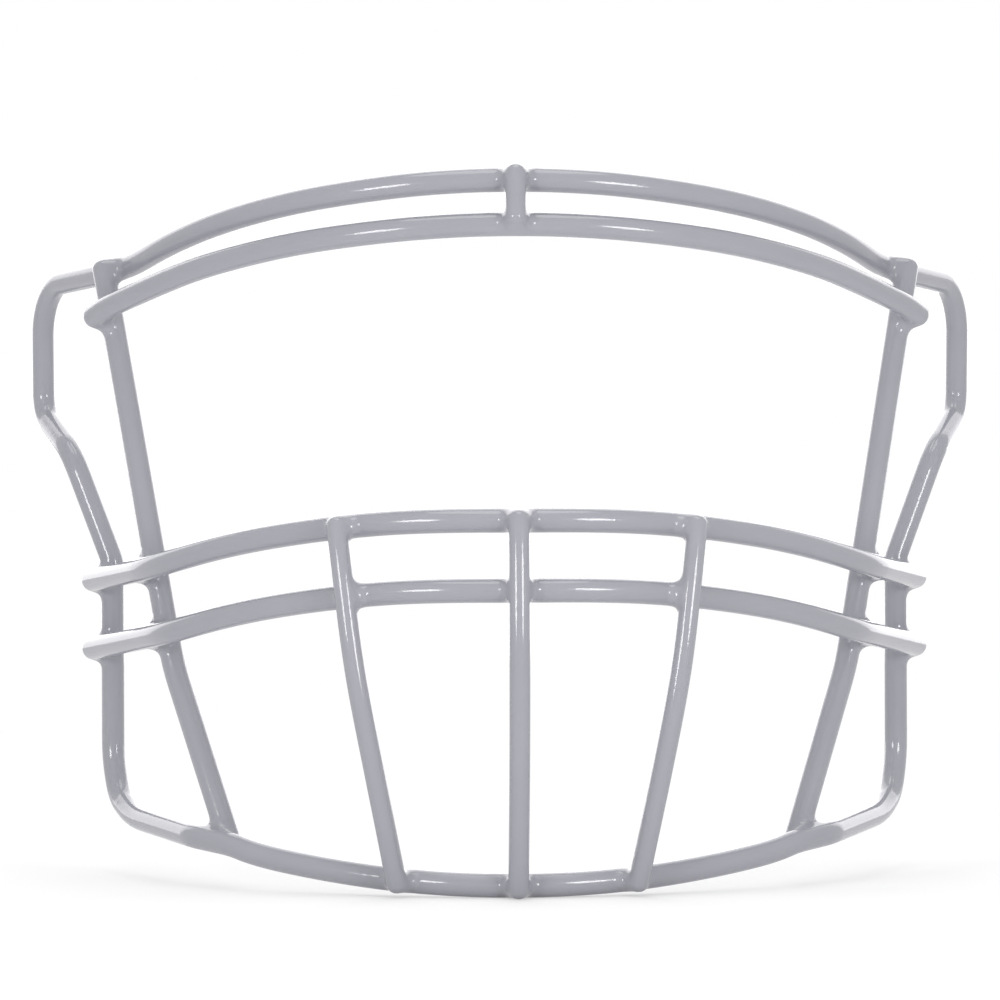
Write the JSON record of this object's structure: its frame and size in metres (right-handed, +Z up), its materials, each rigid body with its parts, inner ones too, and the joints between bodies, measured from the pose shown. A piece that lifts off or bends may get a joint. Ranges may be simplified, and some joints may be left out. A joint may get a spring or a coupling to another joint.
{
  "type": "football helmet facemask",
  "caption": "Welded cage of coated round steel wire that guards the face below and ahead of an open-front football helmet.",
  "frame": {"origin": "on the middle plane, midway between the two upright clip wires, where the helmet holds the cage", "axes": "+X to the right as seen from the front (the wearer's left), +Y back towards the wearer's face, +Z up; +X is the longest extent and +Y the shortest"},
  "size_m": [0.256, 0.1526, 0.1814],
  "materials": {
    "heavy_wire_coat": "glossy smooth polymer powder coat over steel, light cool grey, slight orange peel",
    "light_wire_coat": "glossy smooth polymer powder coat over steel, light cool grey, slight orange peel",
    "weld_coat": "glossy smooth polymer powder coat over steel, light cool grey, slight orange peel, smoothed over the weld"
  },
  "bodies": {
    "root": {"outer_frame_wire": "heavy_wire_coat", "lower_brow_bar": "heavy_wire_coat", "upper_jaw_bar": "heavy_wire_coat", "lower_jaw_bar": "heavy_wire_coat", "left_side_post": "heavy_wire_coat", "right_side_post": "heavy_wire_coat", "brow_strut": "light_wire_coat", "centre_mouth_bar": "light_wire_coat", "left_side_mouth_bar": "light_wire_coat", "right_side_mouth_bar": "light_wire_coat", "brow_strut_upper_weld": "weld_coat", "brow_strut_lower_weld": "weld_coat", "centre_bar_upper_jaw_weld": "weld_coat", "centre_bar_lower_jaw_weld": "weld_coat", "centre_bar_chin_weld": "weld_coat", "left_post_brow_weld": "weld_coat", "left_post_lower_brow_weld": "weld_coat", "left_post_chin_weld": "weld_coat", "left_post_upper_jaw_weld": "weld_coat", "left_post_lower_jaw_weld": "weld_coat", "left_frame_upper_jaw_weld": "weld_coat", "left_frame_lower_jaw_weld": "weld_coat", "left_side_bar_upper_jaw_weld": "weld_coat", "left_side_bar_lower_jaw_weld": "weld_coat", "left_side_bar_chin_weld": "weld_coat", "right_post_brow_weld": "weld_coat", "right_post_lower_brow_weld": "weld_coat", "right_post_chin_weld": "weld_coat", "right_post_upper_jaw_weld": "weld_coat", "right_post_lower_jaw_weld": "weld_coat", "right_frame_upper_jaw_weld": "weld_coat", "right_frame_lower_jaw_weld": "weld_coat", "right_side_bar_upper_jaw_weld": "weld_coat", "right_side_bar_lower_jaw_weld": "weld_coat", "right_side_bar_chin_weld": "weld_coat"}
  },
  "joints": []
}
